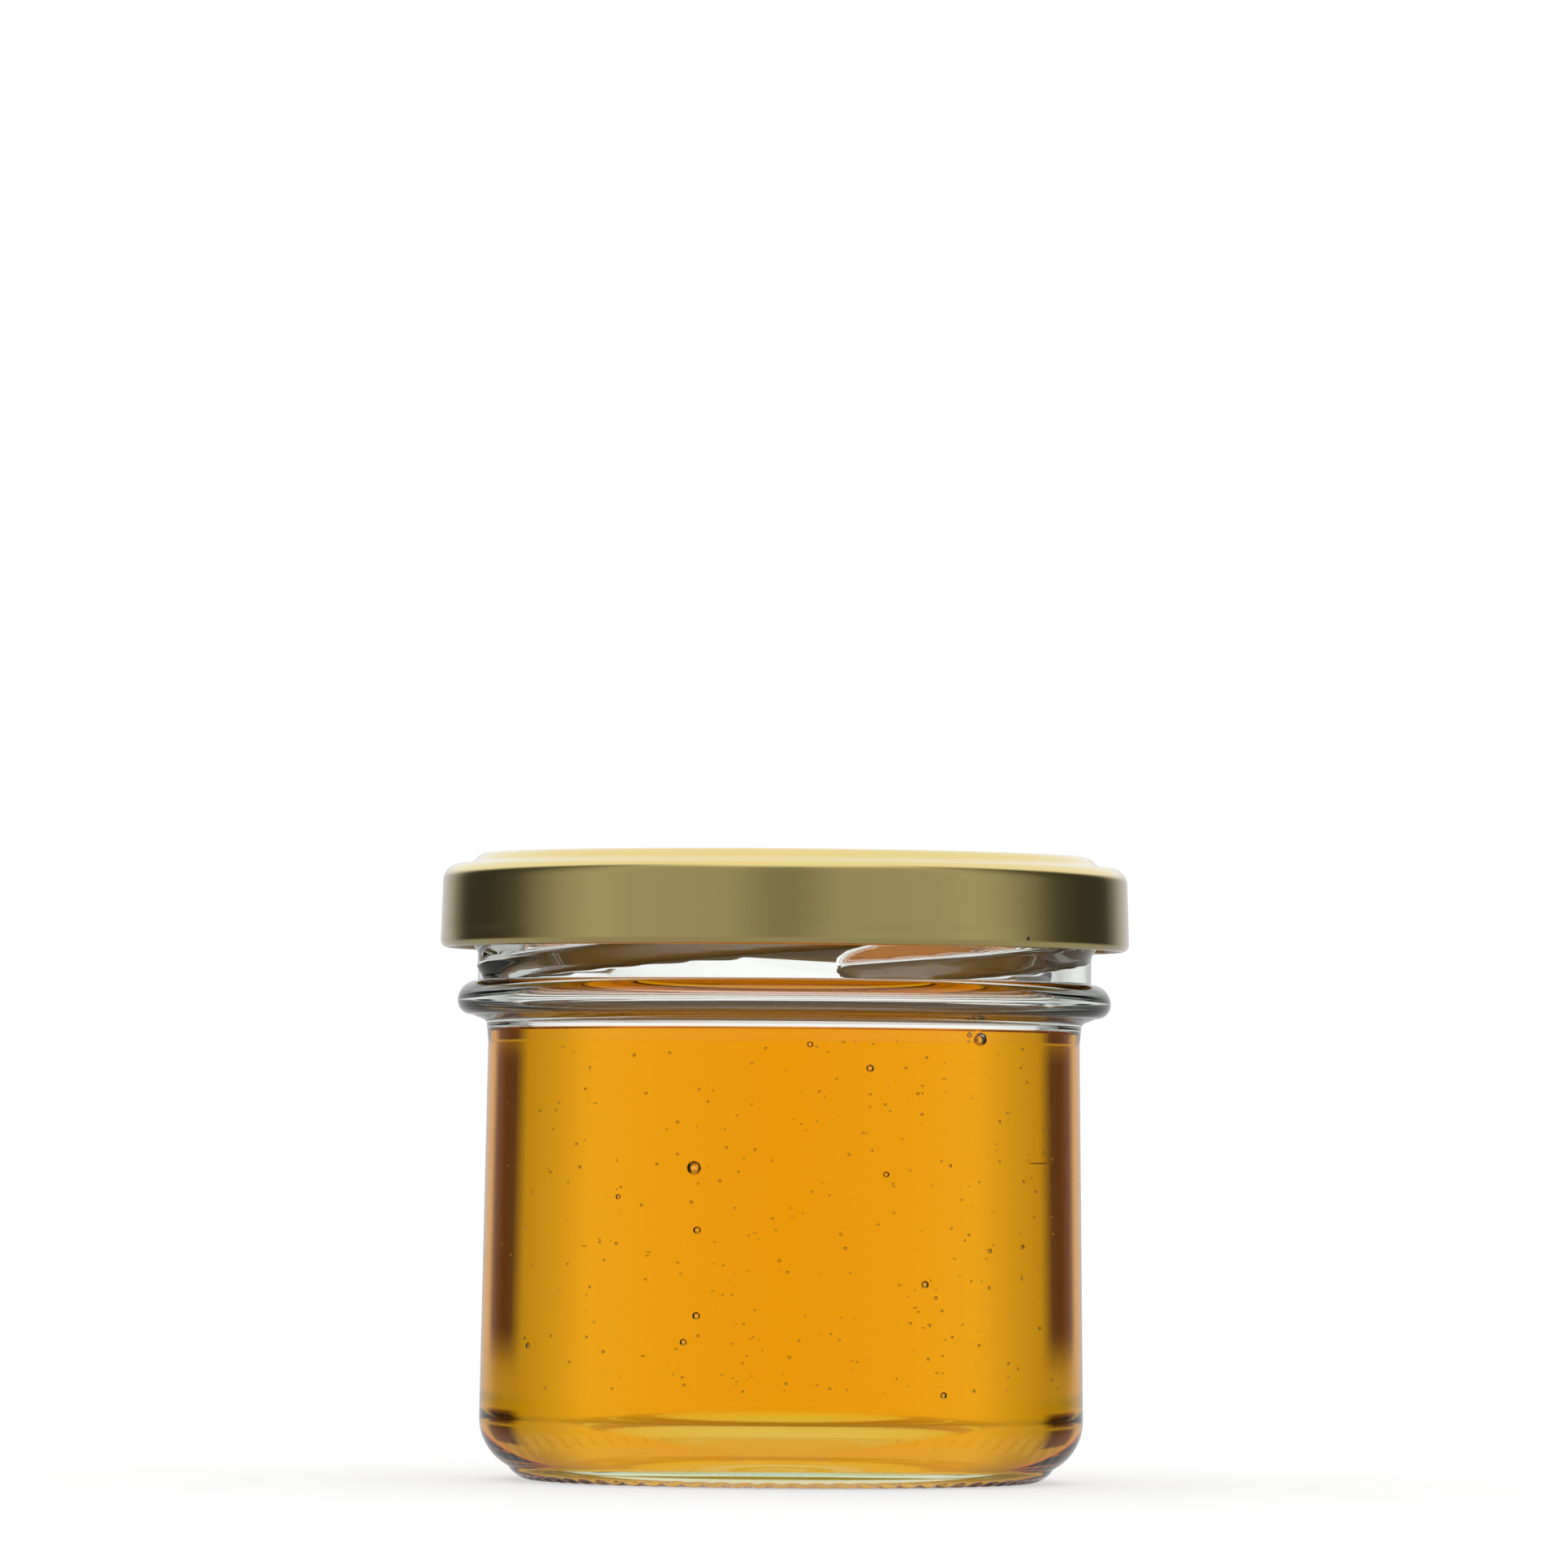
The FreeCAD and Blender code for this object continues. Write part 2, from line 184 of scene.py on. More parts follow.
# How bright the room is by bearing: what the jar mirrors, and what shows through it.
ROOM = [
    (12, 0.62), (28, 0.38), (37, 0.15), (44, 0.035), (62, 0.035), (78, 0.07), (86, 0.16),
    (100, 0.31), (113, 0.40), (130, 0.345), (150, 0.34), (160, 0.34), (174, 0.23), (180, 0.22),
]
BACKDROP = [(0, 1), (28, 1), (37, 0.76), (50, 0.55), (62, 0.55), (78, 1), (180, 1)]

# The light overhead and the table below, as they are mirrored, and where each fades in.
OVERHEAD = 0.92
OVERHEAD_EDGE = (math.sin(math.radians(55)), math.sin(math.radians(80)))
OVERHEAD_REACH = 0.8
TABLE = 0.3
TABLE_EDGE = (-0.03, -0.35)

# The floor, and how far from the axis it glows amber through the glass: a painted pool of amber light
# under the jar.
FLOOR_HALF = 160.0
FLOOR_GLOW = 0.53
PAINTED_AMBER_LIGHT = (1.0, 0.64, 0.10, 1)
AMBER_LIGHT_FULL = 50.0
AMBER_LIGHT_NONE = 110.0

# The dark cards behind the jar: the place from which both of a card's sides are aimed, their
# bearings, how far out they are, the card's heights, and how much of its width and height is
# soft, as a share.
CARD_START = (5.0, 29.6)
CARD_BEARINGS = (math.radians(46), math.radians(74))
CARD_REACH = 100.0
CARD_HEIGHTS = (4.0, 46.0)
CARD_SOFTNESS = (0.30, 0.16)

WHITE = (1, 1, 1, 1)


def arc_points(start, end, radius, turn_step):
    """Points of an arc after start, up to end. It curves left for a positive radius."""
    start, end = np.array(start, float), np.array(end, float)
    along = end - start
    half = np.linalg.norm(along) / 2
    rise = math.sqrt(max(radius**2 - half**2, 0))
    left = np.array([-along[1], along[0]]) / (2 * half)
    centre = (start + end) / 2 + left * math.copysign(rise, radius)
    turn = 2 * math.asin(min(half / abs(radius), 1)) * math.copysign(1, radius)
    first = math.atan2(*(start - centre)[::-1])
    count = max(4, math.ceil(abs(turn) / turn_step))
    angles = first + turn * np.arange(1, count + 1) / count
    return centre + abs(radius) * np.stack([np.cos(angles), np.sin(angles)], 1)


def outline(points, turn_step=math.radians(7), hold=0.12):
    """Samples an outline of (radius, height) points. A third number makes the stretch to the
    next point an arc of that radius. A straight stretch keeps a point close to each of its
    ends, so that smooth shading stays out of it."""
    rows = [np.array([points[0][:2]], float)]
    for here, there in zip(points, points[1:]):
        if len(here) == 3:
            rows.append(arc_points(here[:2], there[:2], here[2], turn_step))
            continue
        here, there = np.array(here, float), np.array(there[:2], float)
        length = np.linalg.norm(there - here)
        stops = [hold / length, 1 - hold / length, 1] if length > 4 * hold else [1]
        rows.append(here + np.outer(stops, there - here))
    return np.concatenate(rows)


def rounding(run, rise):
    """The radius of an arc that is level, or upright, at one end and covers run by rise."""
    return (run**2 + rise**2) / (2 * rise)


def refine(profile, near, step):
    """Splits the stretches whose middle passes the test into pieces no longer than step."""
    rows = [profile[0]]
    for here, there in zip(profile, profile[1:]):
        length = np.linalg.norm(there - here)
        count = math.ceil(length / step) if near(*(here + there) / 2) else 1
        rows += [here + (there - here) * k / count for k in range(1, count + 1)]
    return np.array(rows)


def fade(value, full, none):
    """1 up to full, and from there smoothly down to 0 at none."""
    share = np.clip((none - value) / (none - full), 0, 1)
    return share * share * (3 - 2 * share)


def turned(profile, segments, shape=None):
    """Vertices and faces of an outline that starts and ends on the axis, turned about it.

    shape takes arrays of radius, height and angle and returns the radius and height moved.
    """
    angles = 2 * math.pi * np.arange(segments) / segments
    middle = profile[1:-1]
    radius = np.repeat(middle[:, :1], segments, 1)
    height = np.repeat(middle[:, 1:], segments, 1)
    angle = np.repeat(angles[None], len(middle), 0)
    if shape is not None:
        radius, height = shape(radius, height, angle)
    rows = np.stack([radius * np.cos(angle), radius * np.sin(angle), height], 2).reshape(-1, 3)
    poles = np.array([[0, 0, profile[0, 1]], [0, 0, profile[-1, 1]]])
    vertices = np.concatenate([rows, poles]) * MM
    first, last = len(rows), len(rows) + 1
    grid = np.arange(len(rows)).reshape(len(middle), segments)
    around = np.roll(grid, -1, 1)
    quads = np.stack([grid[:-1], around[:-1], around[1:], grid[1:]], 2).reshape(-1, 4)
    faces = quads.tolist()
    faces += [[first, around[0, k], grid[0, k]] for k in range(segments)]
    faces += [[last, grid[-1, k], around[-1, k]] for k in range(segments)]
    return vertices, faces


def new_piece(name, vertices, faces):
    """A mesh object in the frame, riding on the part's one body."""
    mesh = bpy.data.meshes.new(name)
    mesh.from_pydata(np.asarray(vertices).tolist(), [], [[int(v) for v in f] for f in faces])
    mesh.validate()
    mesh.polygons.foreach_set("use_smooth", [True] * len(mesh.polygons))
    piece = bpy.data.objects.new(name, mesh)
    bpy.context.scene.collection.objects.link(piece)
    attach(piece, "root")
    return piece


def face_places(piece):
    """How far each face's centre is from the axis, and how high."""
    faces = piece.data.polygons
    centres = np.empty(len(faces) * 3)
    faces.foreach_get("center", centres)
    centres = centres.reshape(-1, 3) / MM
    return np.hypot(centres[:, 0], centres[:, 1]), centres[:, 2]


def mark_faces(piece, name, values):
    """Stores a number for each face, for the material to read. True counts as 1."""
    marks = piece.data.attributes.new(name, "FLOAT", "FACE")
    marks.data.foreach_set("value", np.asarray(values, float))


# ---------------------------------------------------------------- node helpers


def new_material(name):
    material = bpy.data.materials.new(name)
    material.use_nodes = True
    tree = material.node_tree
    return material, tree, tree.nodes["Principled BSDF"]


def add(tree, kind, **values):
    """A node with some inputs or properties set."""
    node = tree.nodes.new(kind)
    for key, value in values.items():
        if key in node.inputs.keys():
            node.inputs[key].default_value = value
        else:
            setattr(node, key, value)
    return node


def plug(tree, value, socket):
    """Links an output to a socket, or sets the socket to a plain value."""
    if isinstance(value, bpy.types.NodeSocket):
        tree.links.new(value, socket)
    else:
        socket.default_value = value


def calculate(tree, operation, *values):
    """The outcome of a maths node."""
    node = add(tree, "ShaderNodeMath", operation=operation)
    for value, socket in zip(values, node.inputs):
        plug(tree, value, socket)
    return node.outputs[0]


def slope(tree, value, none, full):
    """0 up to none, and from there smoothly up to 1 at full."""
    node = add(tree, "ShaderNodeMapRange", interpolation_type="SMOOTHSTEP")
    node.inputs["From Min"].default_value = none
    node.inputs["From Max"].default_value = full
    tree.links.new(value, node.inputs["Value"])
    return node.outputs[0]


def blend(tree, factor, start, end):
    """One colour where the factor is 0, and another where it is 1."""
    node = add(tree, "ShaderNodeMix", data_type="RGBA")
    plug(tree, factor, node.inputs["Factor"])
    plug(tree, start, node.inputs["A"])
    plug(tree, end, node.inputs["B"])
    return node.outputs["Result"]


def grey(level):
    return (level, level, level, 1)


# ---------------------------------------------------------------- materials


def clear(shader, ior):
    """Sets a Principled shader up as a clear, polished solid."""
    shader.inputs["Base Color"].default_value = WHITE
    shader.inputs["Roughness"].default_value = 0
    shader.inputs["Transmission Weight"].default_value = 1
    shader.inputs["IOR"].default_value = ior


def shine_where_free(tree, shader):
    """Lets a face mirror as its mark says: not at all where honey wets the glass."""
    free = add(tree, "ShaderNodeAttribute", attribute_name="free")
    tree.links.new(free.outputs["Fac"], shader.inputs["Specular Tint"])


def absorb(tree, density, colour):
    """Fills a closed piece with a medium that takes light away along its path."""
    volume = add(tree, "ShaderNodeVolumeAbsorption", Density=density)
    volume.inputs["Color"].default_value = (*colour, 1)
    tree.links.new(volume.outputs[0], tree.nodes["Material Output"].inputs["Volume"])


def glass_material():
    """Clear jar glass, a little green in the thick base."""
    material, tree, shader = new_material("jar glass")
    clear(shader, 1.515)
    shine_where_free(tree, shader)
    absorb(tree, 9.0, (0.40, 0.90, 0.50))
    return material


def honey_material():
    """Clear amber honey, whose colour comes from the light's way through it."""
    material, tree, shader = new_material("amber honey")
    clear(shader, 1.495)
    shine_where_free(tree, shader)
    absorb(tree, 150.0, (0.980, 0.863, 0.033))
    return material


def lid_material():
    """Satin gold lacquer over drawn tinplate, whose inside is painted a darker amber without metal:
    painted shade under the lid.
    """
    material, tree, shader = new_material("gold lacquer")
    shader.inputs["Roughness"].default_value = 0.18
    shader.inputs["Coat Roughness"].default_value = 0.12
    shader.inputs["Coat IOR"].default_value = 2.0
    inside = add(tree, "ShaderNodeAttribute", attribute_name="inside").outputs["Fac"]
    # the inside faces get a darker amber without metal or coat: painted shade under the lid
    gold, painted_shade_inside, dirt = (0.88, 0.69, 0.19, 1), (0.52, 0.30, 0.005, 1), (0.004, 0.003, 0.002, 1)
    colour = blend(tree, inside, gold, painted_shade_inside)
    # one small black speck of dirt on the skirt
    where = add(tree, "ShaderNodeTexCoord").outputs["Object"]
    away = add(tree, "ShaderNodeVectorMath", operation="DISTANCE")
    away.inputs[1].default_value = tuple(Vector(SPECK) * MM)
    tree.links.new(where, away.inputs[0])
    speck = calculate(tree, "LESS_THAN", away.outputs["Value"], SPECK_RADIUS * MM)
    tree.links.new(blend(tree, speck, colour, dirt), shader.inputs["Base Color"])
    outside = calculate(tree, "SUBTRACT", 1, inside)
    tree.links.new(outside, shader.inputs["Coat Weight"])
    tree.links.new(outside, shader.inputs["Metallic"])
    # a fine grain, in lengths of the jar itself
    grain = add(tree, "ShaderNodeTexNoise", Scale=3600.0, Detail=2.0)
    tree.links.new(where, grain.inputs["Vector"])
    bump = add(tree, "ShaderNodeBump", Strength=0.25, Distance=0.02 * MM)
    tree.links.new(grain.outputs["Fac"], bump.inputs["Height"])
    tree.links.new(bump.outputs["Normal"], shader.inputs["Normal"])
    return material


# ---------------------------------------------------------------- glass


def inner_base(out):
    """The inside of the base from its domed middle to the wall, moved out into the glass."""
    inner = BORE_RADIUS - INNER_HEEL
    share = DOME_RADIUS / inner
    fall = DOME_TOP - INNER_FLOOR
    valley = rounding(inner - DOME_RADIUS, fall * (1 - share))
    return [
        (0, DOME_TOP - out, -rounding(DOME_RADIUS, fall * share)),
        (DOME_RADIUS, DOME_TOP - fall * share - out, valley),
        (inner, INNER_FLOOR - out, INNER_HEEL + out),
        (BORE_RADIUS + out, INNER_FLOOR + INNER_HEEL),
    ]


def reverse(points):
    """The same outline, run the other way."""
    stops = [point[:2] for point in points][::-1]
    bends = [point[2:] for point in points[:-1]][::-1]
    bends = [(-bend[0],) if bend else () for bend in bends] + [()]
    return [stop + bend for stop, bend in zip(stops, bends)]


def glass_outline():
    """The glass from under its base, up the outside, over the rim and down the inside."""
    return outline(
        [
            (0, PUSH_UP, -rounding(FOOT_INNER[0], PUSH_UP - FOOT_INNER[1])),
            (*FOOT_INNER, rounding(FLAT_INNER - FOOT_INNER[0], FOOT_INNER[1])),
            (FLAT_INNER, 0),
            (FLAT_OUTER, 0, rounding(FOOT_EDGE[0] - FLAT_OUTER, FOOT_EDGE[1])),
            FOOT_EDGE,
            (*HEEL_EDGE, rounding(HEEL_HEIGHT - HEEL_EDGE[1], BODY_RADIUS - HEEL_EDGE[0])),
            (BODY_RADIUS, HEEL_HEIGHT),
            (SEAM_RADIUS, SEAM_HEIGHT),
            (SHOULDER_RADIUS, SHOULDER_HEIGHT - FILLET_DROP, -FILLET),
            (SHOULDER_RADIUS + FILLET_RUN, SHOULDER_HEIGHT + FILLET_RISE),
            (RING_RADIUS - RING_ROUNDING, RING_HEIGHT - RING_ROUNDING, RING_ROUNDING),
            (RING_RADIUS, RING_HEIGHT, RING_PROJECTION),
            (NECK_RADIUS, RING_HEIGHT + RING_PROJECTION),
            (NECK_RADIUS, GLASS_TOP - RIM_ROUNDING, RIM_ROUNDING),
            (NECK_RADIUS - RIM_ROUNDING, GLASS_TOP),
            (MOUTH_RADIUS + RIM_ROUNDING, GLASS_TOP, RIM_ROUNDING),
            (MOUTH_RADIUS, GLASS_TOP - RIM_ROUNDING),
            (MOUTH_RADIUS, SHOULDER_HEIGHT + MOUTH_STEP),
            (BORE_RADIUS, SHOULDER_HEIGHT),
            *reverse(inner_base(0)),
        ]
    )


def thread_bump(height, angle):
    """How far the threads stand out from the neck: ridges with two flanks and blunt ends."""
    bump = np.zeros_like(height)
    whole = 2 * math.pi
    climb = THREAD_LEAD / whole
    half = THREAD_WIDTH / 2
    # a ridge is followed from a little before its start
    before = 0.5
    for start in THREAD_AZIMUTH + whole * np.arange(THREADS) / THREADS:
        way = (angle - start + before) % whole - before
        ends = np.minimum(way, THREAD_SPAN - way) * NECK_RADIUS / THREAD_NOSE
        ends = np.clip(ends, 0, 1)
        width = half * np.sqrt(1 - (1 - ends) ** 2)
        off = height - (THREAD_FOOT + climb * way)
        flank = (width - np.hypot(off, THREAD_CREST) + THREAD_CREST) / half
        bump = np.maximum(bump, np.where(ends > 0, flank, 0))
    return THREAD_PROJECTION * np.clip(bump, 0, 1)


def shape_glass(radius, height, angle):
    """Presses threads and knurls into the turned glass."""
    outer_neck = (radius > NECK_RADIUS - CLOSE) & (height > RING_HEIGHT + RING_PROJECTION)
    radius = radius + np.where(outer_neck, thread_bump(height, angle), 0)
    foot = (height < KNURL_TOP) & (radius > FLAT_OUTER - KNURL_INSET)
    groove = (0.5 - 0.5 * np.cos(KNURLS * angle)) ** 2
    height = height + np.where(foot, KNURL_DEPTH * groove, 0)
    return radius, height


def make_glass():
    def threaded(across, height):
        return abs(across - NECK_RADIUS) < CLOSE and height > RING_HEIGHT

    profile = refine(glass_outline(), threaded, THREAD_ROW)
    piece = new_piece("glass", *turned(profile, GLASS_SEGMENTS, shape_glass))
    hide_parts("glass_jar")
    piece.data.materials.append(glass_material())

    across, height = face_places(piece)
    # the bore and the upper half of the heel's curve
    bore = (across > BORE_RADIUS - INNER_HEEL / 3) & (across < BORE_RADIUS + CLOSE)
    wetted = bore & (height < HONEY_LEVEL) & (height > INNER_FLOOR)
    body = (across > BODY_RADIUS - WALL / 2) & (height > CALM_LOWEST) & (height < SEAM_HEIGHT)
    neck = (across > NECK_RADIUS - CALM_INSET) & (height > RING_HEIGHT + RING_PROJECTION)
    mark_faces(piece, "free", np.where(body | neck, CALM, ~wetted))


# ---------------------------------------------------------------- honey


def bubble(place, radius, rings):
    """An empty ball in the honey: its faces are turned inwards."""
    turn = math.pi * np.arange(rings + 1) / rings
    profile = radius * np.stack([np.sin(turn), np.cos(turn)], 1)
    vertices, faces = turned(profile, 2 * rings)
    return vertices + np.array(place) * MM, faces


def all_bubbles():
    """The large bubbles, and tiny ones that are denser low down and to the right."""
    for aside, height, radius in BUBBLES:
        depth = BORE_RADIUS - BUBBLE_GAP - radius
        yield bubble((aside, -math.sqrt(depth**2 - aside**2), height), radius, BUBBLE_RINGS)
    chance = np.random.RandomState(5)
    for k in range(TINY_BUBBLES):
        bearing, up, deep, size, behind = chance.random_sample(5)
        is_behind = behind > TINY_IN_FRONT
        bearing = TINY_SPREAD * (bearing**0.8 - 0.5) + (180 if is_behind else 0)
        bearing = math.radians(bearing)
        depth = BORE_RADIUS - TINY_GAP - TINY_DEPTH * deep**2
        height = TINY_LOWEST + (TINY_HIGHEST - TINY_LOWEST) * up**1.25
        place = (depth * math.sin(bearing), -depth * math.cos(bearing), height)
        growth = TINY_GROWTH_BEHIND if is_behind else TINY_GROWTH
        yield bubble(place, TINY_RADIUS + growth * size**2, TINY_RINGS)


def make_honey():
    wall = BORE_RADIUS + OVERLAP
    surface = [
        (wall, HONEY_LEVEL + MENISCUS, MENISCUS_ROUNDING),
        (wall - MENISCUS_WIDTH, HONEY_LEVEL),
        (0, HONEY_LEVEL),
    ]
    vertices, faces = turned(outline(inner_base(OVERLAP) + surface), SEGMENTS)
    body_faces = len(faces)
    for more_vertices, more_faces in all_bubbles():
        faces += [[corner + len(vertices) for corner in face] for face in more_faces]
        vertices = np.concatenate([vertices, more_vertices])
    piece = new_piece("honey_fill", vertices, faces)
    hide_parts("honey")
    piece.data.materials.append(honey_material())
    height = face_places(piece)[1]
    in_bubble = np.arange(len(height)) >= body_faces
    mark_faces(piece, "free", in_bubble | (height > HONEY_LEVEL - CLOSE))


# ---------------------------------------------------------------- lid


def lid_outline():
    """The lid's sheet from its underside at the axis, round the rolled edge, to its top."""
    top_skirt = LID_RADIUS - SKIRT_DRAFT
    shoulder = LID_TOP - LID_STEP
    slope = (STEP_WIDTH**2 + LID_STEP**2) / (4 * LID_STEP)
    curl = LID_BOTTOM + CURL_RADIUS
    return outline(
        [
            (0, LID_TOP - RECESS_DEPTH - SHEET),
            (RECESS_RADIUS, LID_TOP - RECESS_DEPTH - SHEET),
            (RECESS_RADIUS + RECESS_SLOPE, LID_TOP - SHEET),
            (PANEL_RADIUS, LID_TOP - SHEET, -slope),
            (PANEL_RADIUS + STEP_WIDTH / 2, LID_TOP - LID_STEP / 2 - SHEET, slope),
            (PANEL_RADIUS + STEP_WIDTH, shoulder - SHEET),
            (top_skirt - LID_CORNER, shoulder - SHEET, -(LID_CORNER - SHEET)),
            (top_skirt - SHEET, shoulder - LID_CORNER),
            (LID_RADIUS - SHEET, curl + CURL_RADIUS),
            (LID_RADIUS - CURL_RADIUS, curl + CURL_RADIUS, CURL_RADIUS),
            (LID_RADIUS - 2 * CURL_RADIUS, curl, CURL_RADIUS),
            (LID_RADIUS - CURL_RADIUS, LID_BOTTOM, CURL_RADIUS),
            (LID_RADIUS, curl),
            (top_skirt, shoulder - LID_CORNER, LID_CORNER),
            (top_skirt - LID_CORNER, shoulder),
            (PANEL_RADIUS + STEP_WIDTH, shoulder, -slope),
            (PANEL_RADIUS + STEP_WIDTH / 2, LID_TOP - LID_STEP / 2, slope),
            (PANEL_RADIUS, LID_TOP),
            (RECESS_RADIUS + RECESS_SLOPE, LID_TOP),
            (RECESS_RADIUS, LID_TOP - RECESS_DEPTH),
            (0, LID_TOP - RECESS_DEPTH),
        ],
    )


def shape_lid(radius, height, angle):
    """Presses lugs out of the rolled edge, each under a shallow dent, and makes it uneven."""
    step = 2 * math.pi / LUGS
    off = np.abs((angle - LUG_AZIMUTH + step / 2) % step - step / 2)
    edge = LID_RADIUS - CURL_RADIUS
    low = height < LID_BOTTOM + 2 * CURL_RADIUS + CLOSE
    inwards = np.sqrt(np.clip((edge - radius) / CURL_RADIUS, 0, 1))
    # both fade out towards their ends, a lug quickly and a dent slowly
    lug = np.where(low, inwards * fade(off, 0.8 * LUG_HALF_TURN, 1.2 * LUG_HALF_TURN), 0)
    dent = fade(off, 0.4 * DENT_HALF_TURN, DENT_HALF_TURN)
    dent = dent * fade(height - LID_BOTTOM, 0.5 * DENT_HEIGHT, DENT_HEIGHT)
    dent = np.where(radius > edge, dent, 0)
    # the waves only ever lead inwards, so that the lid keeps to its radius
    waves = sum(share * (np.sin(number * angle + start) - 1) for number, share, start in WAVES)
    waves = np.where(radius > PANEL_RADIUS, waves, 0)
    return radius - LUG_REACH * lug - DENT_DEPTH * dent + UNEVEN * waves, height


def make_lid():
    def in_skirt(across, height):
        outer = across > LID_RADIUS - 2 * SHEET
        return outer and height < LID_TOP - LID_STEP - LID_CORNER

    profile = refine(lid_outline(), in_skirt, SKIRT_ROW)
    piece = new_piece("lid", *turned(profile, SEGMENTS, shape_lid))
    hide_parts("twist_lid")
    piece.data.materials.append(lid_material())
    # faces come row by row from inside, up to the lowest row, where the outside begins. The
    # round of faces that closes the inside at the axis comes last but one
    faces = len(piece.data.polygons)
    inner_faces = SEGMENTS * (np.argmin(profile[:, 1]) - 1)
    index = np.arange(faces)
    inner_middle = index // SEGMENTS == faces // SEGMENTS - 2
    # the inside faces carry the lid's painted shade
    mark_faces(piece, "inside", (index < inner_faces) | inner_middle)


# ---------------------------------------------------------------- studio


def make_camera():
    """A long lens at about half the jar's height, tipped up a little and rolled a little."""
    distance = 1.15
    aside = -0.2 * MM
    eye_height = 34.35 * MM
    aim_height = 70.0 * MM
    view_width = 157.6 * MM
    camera = bpy.data.cameras.new("camera")
    camera.sensor_width = 36
    camera.lens = camera.sensor_width * distance / view_width
    camera.clip_start = 0.1
    holder = bpy.data.objects.new("camera", camera)
    bpy.context.scene.collection.objects.link(holder)
    holder.location = (aside, -distance, eye_height)
    pitch = math.atan((aim_height - eye_height) / distance)
    roll = math.radians(0.45)
    look = Vector((0, math.cos(pitch), math.sin(pitch))).to_track_quat("-Z", "Y")
    holder.rotation_mode = "QUATERNION"
    holder.rotation_quaternion = look @ Quaternion((0, 0, 1), roll)
    bpy.context.scene.camera = holder


def ramp(tree, share, stops):
    """Greys by the share of the way from straight behind the jar, 0, to the front, 180."""
    node = add(tree, "ShaderNodeValToRGB")
    elements = node.color_ramp.elements
    while len(elements) < len(stops):
        elements.new(0.5)
    for element, (degrees, level) in zip(elements, stops):
        element.position = degrees / 180
        element.color = grey(level)
    tree.links.new(share, node.inputs[0])
    return node.outputs[0]


def make_world():
    """White behind everything, with a darker room to be mirrored in the lid and the glass."""
    world = bpy.data.worlds.new("studio")
    bpy.context.scene.world = world
    world.use_nodes = True
    world.cycles.sampling_method = "NONE"
    tree = world.node_tree
    tree.nodes.clear()
    where = add(tree, "ShaderNodeTexCoord")
    split = add(tree, "ShaderNodeSeparateXYZ")
    tree.links.new(where.outputs["Generated"], split.inputs[0])
    x, y, z = split.outputs
    bearing = calculate(tree, "ABSOLUTE", calculate(tree, "ARCTAN2", x, y))
    share = calculate(tree, "DIVIDE", bearing, math.pi)
    # the light overhead reaches farther down behind the jar than in front of it
    behind = calculate(tree, "MAXIMUM", y, 0)
    overhead = slope(tree, calculate(tree, "MULTIPLY_ADD", behind, OVERHEAD_REACH, z), *OVERHEAD_EDGE)
    room = blend(tree, overhead, ramp(tree, share, ROOM), grey(OVERHEAD))
    room = blend(tree, slope(tree, z, *TABLE_EDGE), room, grey(TABLE))
    path = add(tree, "ShaderNodeLightPath").outputs
    seen = blend(tree, path["Is Glossy Ray"], WHITE, room)
    seen = blend(tree, path["Is Transmission Ray"], seen, ramp(tree, share, BACKDROP))
    shine = add(tree, "ShaderNodeBackground")
    tree.links.new(seen, shine.inputs["Color"])
    out = add(tree, "ShaderNodeOutputWorld")
    tree.links.new(shine.outputs[0], out.inputs["Surface"])


def new_plane(name, corners):
    """A four-cornered face of the studio, which isn't part of the jar."""
    mesh = bpy.data.meshes.new(name)
    mesh.from_pydata([[number * MM for number in corner] for corner in corners], [], [(0, 1, 2, 3)])
    plane = bpy.data.objects.new(name, mesh)
    bpy.context.scene.collection.objects.link(plane)
    return plane


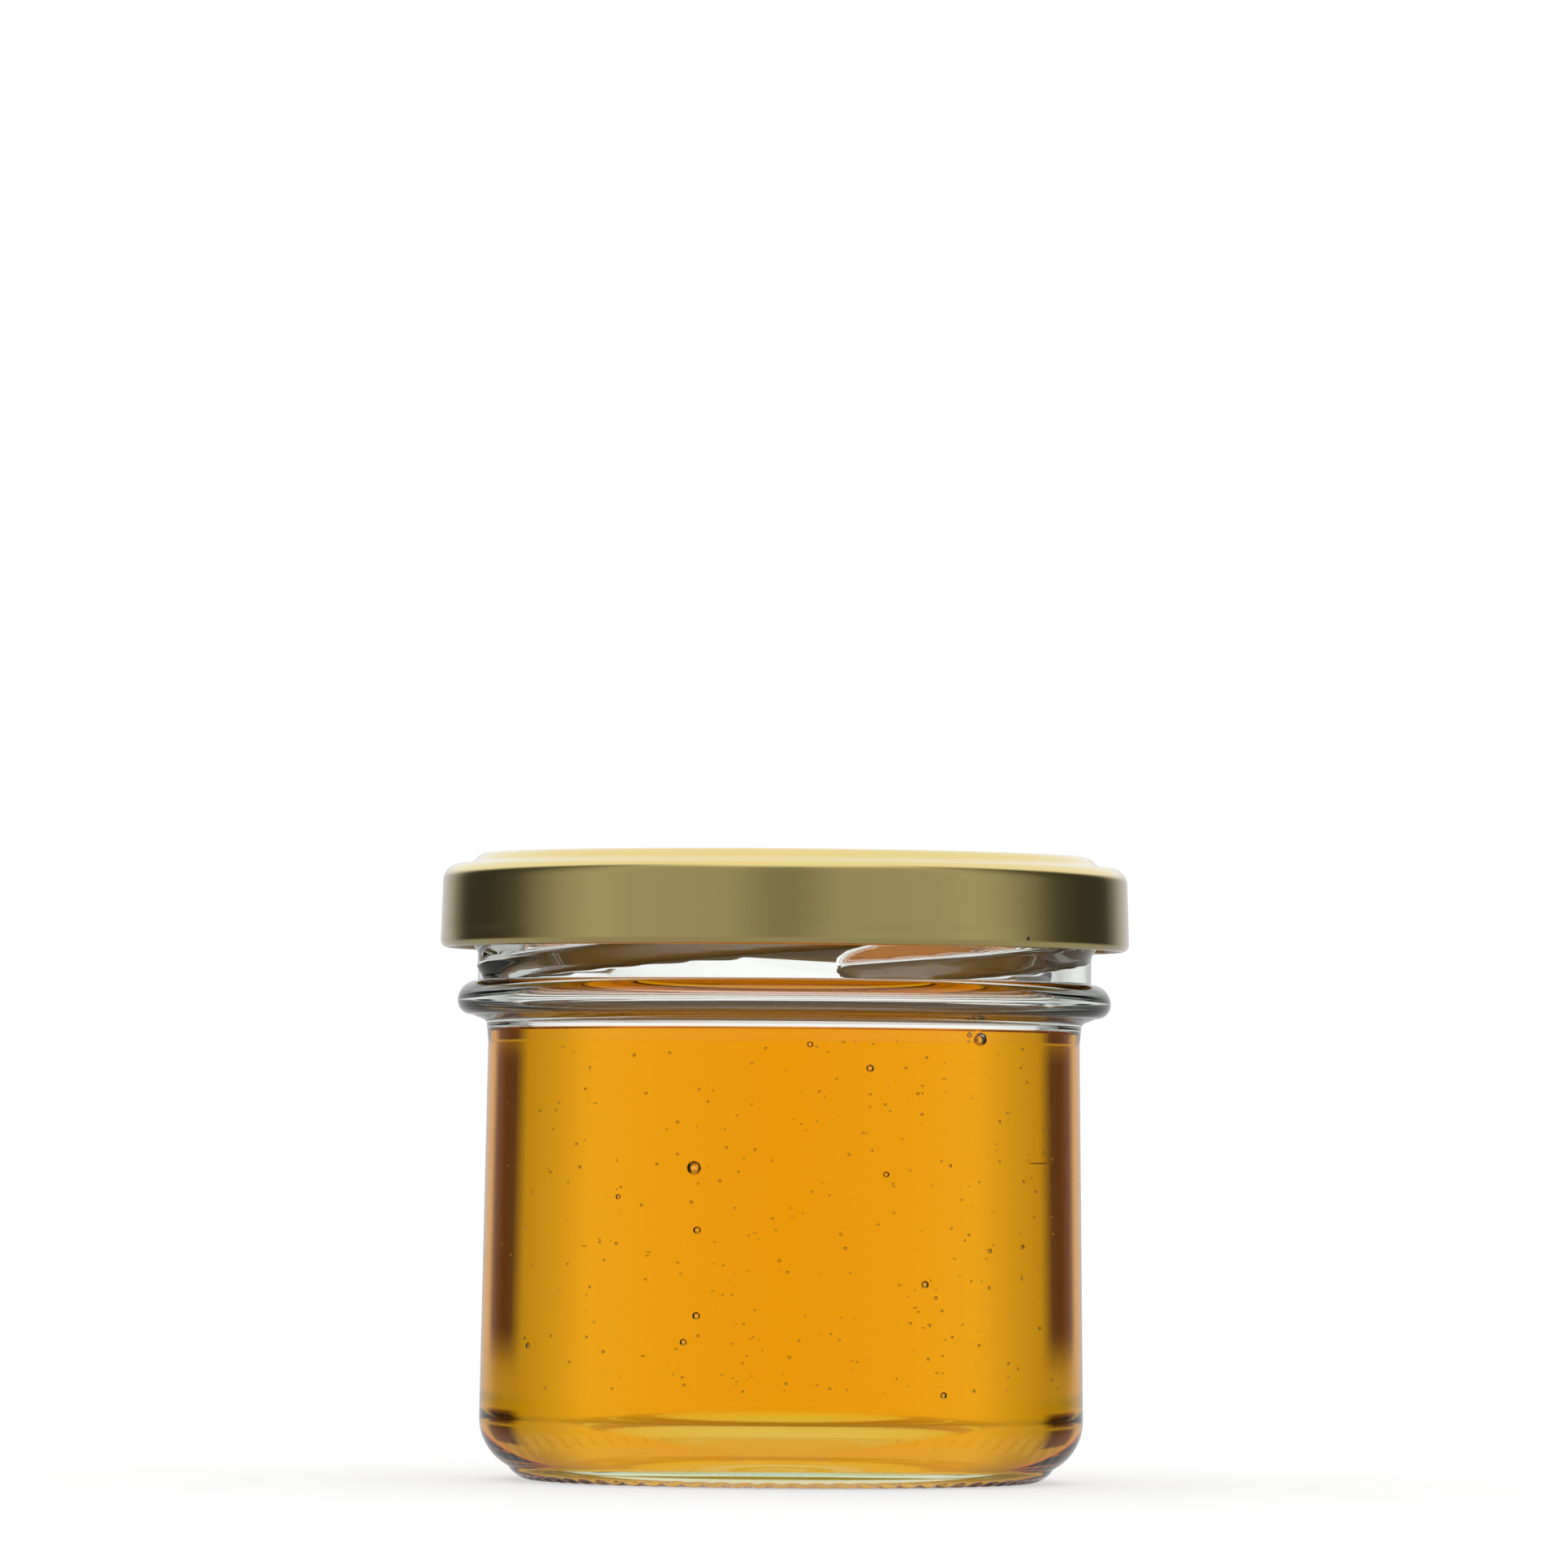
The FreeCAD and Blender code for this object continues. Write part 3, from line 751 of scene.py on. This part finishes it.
def make_floor():
    """A pale floor. Through the glass it glows amber near the jar, a painted pool of amber light, and
    farther out it is not there.
    """
    half = FLOOR_HALF
    floor = new_plane("floor", [(-half, -half, 0), (half, -half, 0), (half, half, 0), (-half, half, 0)])
    material, tree, shader = new_material("pale floor")
    shader.inputs["Base Color"].default_value = grey(0.5)
    shader.inputs["Roughness"].default_value = 0.9
    path = add(tree, "ShaderNodeLightPath").outputs
    through = path["Is Transmission Ray"]
    away = add(tree, "ShaderNodeVectorMath", operation="LENGTH")
    tree.links.new(add(tree, "ShaderNodeTexCoord").outputs["Object"], away.inputs[0])
    # painted pool of amber light: near the jar the floor glows amber where it is seen through the glass
    near = slope(tree, away.outputs["Value"], AMBER_LIGHT_NONE * MM, AMBER_LIGHT_FULL * MM)
    amber = calculate(tree, "MULTIPLY", near, through)
    tree.links.new(blend(tree, amber, WHITE, PAINTED_AMBER_LIGHT), shader.inputs["Emission Color"])
    seen = calculate(tree, "MAXIMUM", path["Is Camera Ray"], through)
    glow = calculate(tree, "MULTIPLY", seen, FLOOR_GLOW)
    tree.links.new(glow, shader.inputs["Emission Strength"])
    # farther out, what shows through the glass is the backdrop
    gone = calculate(tree, "SUBTRACT", through, amber)
    tree.links.new(calculate(tree, "SUBTRACT", 1, gone), shader.inputs["Alpha"])
    floor.data.materials.append(material)
    floor.visible_glossy = False


def make_card(side):
    """A dark card with soft edges behind the jar to one side, seen only through the glass."""
    start = np.array(CARD_START) * (-side, 1)
    aims = [np.array([side * math.sin(bearing), math.cos(bearing)]) for bearing in CARD_BEARINGS]
    near, far = [start + CARD_REACH * aim for aim in aims]
    low, high = CARD_HEIGHTS
    corners = [(*near, low), (*far, low), (*far, high), (*near, high)]
    card = new_plane("card_left" if side < 0 else "card_right", corners)
    places = card.data.uv_layers.new(name="card")
    for loop, corner in zip(places.data, [(0, 0), (1, 0), (1, 1), (0, 1)]):
        loop.uv = corner
    material, tree, shader = new_material("dark card")
    shader.inputs["Base Color"].default_value = grey(0.03)
    split = add(tree, "ShaderNodeSeparateXYZ")
    tree.links.new(add(tree, "ShaderNodeUVMap", uv_map="card").outputs[0], split.inputs[0])
    edges = []
    for axis, soft in zip("XY", CARD_SOFTNESS):
        inwards = calculate(tree, "PINGPONG", split.outputs[axis], 0.5)
        edges.append(slope(tree, inwards, 0, soft))
    tree.links.new(calculate(tree, "MULTIPLY", *edges), shader.inputs["Alpha"])
    card.data.materials.append(material)
    card.visible_camera = False
    card.visible_glossy = False
    card.visible_diffuse = False
    card.visible_shadow = False


make_glass()
make_honey()
make_lid()
make_camera()
make_world()
make_floor()
for side in (-1, 1):
    make_card(side)

scene = bpy.context.scene
scene.view_settings.view_transform = "Standard"
scene.cycles.max_bounces = 32
scene.cycles.transmission_bounces = 24

bpy.context.view_layer.update()
